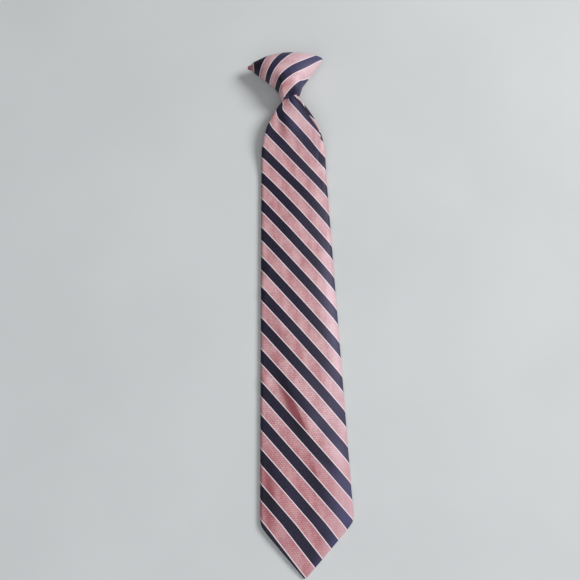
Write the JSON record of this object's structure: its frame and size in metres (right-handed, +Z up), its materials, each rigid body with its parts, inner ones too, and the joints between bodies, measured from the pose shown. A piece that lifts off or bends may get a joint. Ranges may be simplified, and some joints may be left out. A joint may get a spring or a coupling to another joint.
{
  "type": "clip-on necktie",
  "caption": "Boy's clip-on necktie in diagonally striped cloth: a flat folded blade with a pointed tip, a pre-formed knot and a collar hook behind it.",
  "frame": {"origin": "middle of the tie's box, on the table that the blade and the hook rest on", "axes": "+Y from the blade's tip to the knot, +X to the viewer's right, +Z up from the table, out of the tie's front"},
  "size_m": [0.0664, 0.3894, 0.0234],
  "materials": {
    "blade_cloth": "satin weave in pink and navy stripes",
    "knot_cloth": "satin weave in pink and navy stripes",
    "hook_plastic": "plain"
  },
  "bodies": {
    "root": {"blade": "blade_cloth", "knot": "knot_cloth", "collar_hook": "hook_plastic"}
  },
  "joints": []
}
